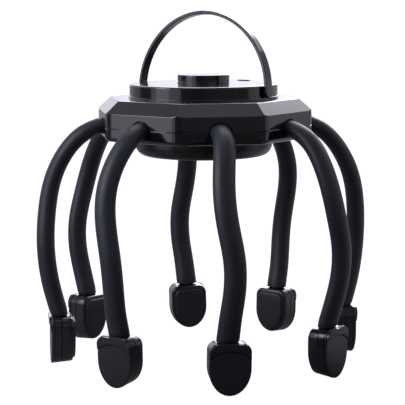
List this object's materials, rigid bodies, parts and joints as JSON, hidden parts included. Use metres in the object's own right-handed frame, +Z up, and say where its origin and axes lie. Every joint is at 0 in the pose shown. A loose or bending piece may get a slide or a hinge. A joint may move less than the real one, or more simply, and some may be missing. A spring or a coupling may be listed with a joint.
{
  "type": "electric scalp massager",
  "caption": "Hands-free scalp massager: octagonal black housing with a push button and folding bail handle, on curved soft arms that end in flat vibrating heads.",
  "frame": {"origin": "on the surface the heads stand on, in the middle of their ring", "axes": "+Z up through the button; +X along the handle's pivot axis, towards arm 1; the handle folds about X"},
  "size_m": [0.1797, 0.1771, 0.1897],
  "materials": {
    "gloss_black": "polished moulded ABS",
    "silicone": "matte silicone",
    "head_plastic": "satin moulded plastic",
    "pad_rubber": "soft-touch silicone",
    "smoked_lens": "smoked clear plastic",
    "inner_plastic": "moulded nylon",
    "steel": "zinc plated",
    "board": "solder mask",
    "switch": "moulded plastic",
    "port_metal": "nickel plated",
    "cell": "laminated pouch",
    "motor_can": "nickel plated"
  },
  "bodies": {
    "housing": {"upper_shell": "gloss_black", "lower_shell": "gloss_black", "shell_screws": "steel", "arm_sockets": "inner_plastic", "top_cap": "gloss_black", "indicator_lens": "smoked_lens", "control_board": "board", "tact_switch": "switch", "base_drum": "gloss_black", "charging_port": "port_metal", "battery": "cell"},
    "button": {"power_button": "gloss_black"},
    "handle": {"carry_handle": "gloss_black"},
    "flex_arm_1": {"arm_1": "silicone", "head_1_outer_cover": "head_plastic", "head_1_inner_shell": "head_plastic", "head_1_contact_pad": "pad_rubber", "head_1_motor": "motor_can"},
    "flex_arm_2": {"arm_2": "silicone", "head_2_outer_cover": "head_plastic", "head_2_inner_shell": "head_plastic", "head_2_contact_pad": "pad_rubber", "head_2_motor": "motor_can"},
    "flex_arm_3": {"arm_3": "silicone", "head_3_outer_cover": "head_plastic", "head_3_inner_shell": "head_plastic", "head_3_contact_pad": "pad_rubber", "head_3_motor": "motor_can"},
    "flex_arm_4": {"arm_4": "silicone", "head_4_outer_cover": "head_plastic", "head_4_inner_shell": "head_plastic", "head_4_contact_pad": "pad_rubber", "head_4_motor": "motor_can"},
    "flex_arm_5": {"arm_5": "silicone", "head_5_outer_cover": "head_plastic", "head_5_inner_shell": "head_plastic", "head_5_contact_pad": "pad_rubber", "head_5_motor": "motor_can"},
    "flex_arm_6": {"arm_6": "silicone", "head_6_outer_cover": "head_plastic", "head_6_inner_shell": "head_plastic", "head_6_contact_pad": "pad_rubber", "head_6_motor": "motor_can"},
    "flex_arm_7": {"arm_7": "silicone", "head_7_outer_cover": "head_plastic", "head_7_inner_shell": "head_plastic", "head_7_contact_pad": "pad_rubber", "head_7_motor": "motor_can"},
    "flex_arm_8": {"arm_8": "silicone", "head_8_outer_cover": "head_plastic", "head_8_inner_shell": "head_plastic", "head_8_contact_pad": "pad_rubber", "head_8_motor": "motor_can"}
  },
  "joints": [
    {"name": "button_press", "type": "slide", "parent": "housing", "child": "button", "axis": [0, 0, -1], "range_m": [0, 0.001], "stiffness_N_per_m": 1500},
    {"name": "handle_fold", "type": "hinge", "parent": "housing", "child": "handle", "pos_m": [0, 0, 0.1465], "axis": [1, 0, 0], "range_deg": [-86, 94]},
    {"name": "arm_1_flex", "type": "hinge", "parent": "housing", "child": "flex_arm_1", "pos_m": [0.055, 0, 0.1288], "axis": [0, -1, 0], "range_deg": [-6, 18], "stiffness_Nm_per_rad": 0.8},
    {"name": "arm_2_flex", "type": "hinge", "parent": "housing", "child": "flex_arm_2", "pos_m": [0.03889, 0.03889, 0.1288], "axis": [0.7071, -0.7071, 0], "range_deg": [-6, 18], "stiffness_Nm_per_rad": 0.8},
    {"name": "arm_3_flex", "type": "hinge", "parent": "housing", "child": "flex_arm_3", "pos_m": [0, 0.055, 0.1288], "axis": [1, 0, 0], "range_deg": [-6, 18], "stiffness_Nm_per_rad": 0.8},
    {"name": "arm_4_flex", "type": "hinge", "parent": "housing", "child": "flex_arm_4", "pos_m": [-0.03889, 0.03889, 0.1288], "axis": [0.7071, 0.7071, 0], "range_deg": [-6, 18], "stiffness_Nm_per_rad": 0.8},
    {"name": "arm_5_flex", "type": "hinge", "parent": "housing", "child": "flex_arm_5", "pos_m": [-0.055, 0, 0.1288], "axis": [0, 1, 0], "range_deg": [-6, 18], "stiffness_Nm_per_rad": 0.8},
    {"name": "arm_6_flex", "type": "hinge", "parent": "housing", "child": "flex_arm_6", "pos_m": [-0.03889, -0.03889, 0.1288], "axis": [-0.7071, 0.7071, 0], "range_deg": [-6, 18], "stiffness_Nm_per_rad": 0.8},
    {"name": "arm_7_flex", "type": "hinge", "parent": "housing", "child": "flex_arm_7", "pos_m": [0, -0.055, 0.1288], "axis": [-1, 0, 0], "range_deg": [-6, 18], "stiffness_Nm_per_rad": 0.8},
    {"name": "arm_8_flex", "type": "hinge", "parent": "housing", "child": "flex_arm_8", "pos_m": [0.03889, -0.03889, 0.1288], "axis": [-0.7071, -0.7071, 0], "range_deg": [-6, 18], "stiffness_Nm_per_rad": 0.8}
  ]
}
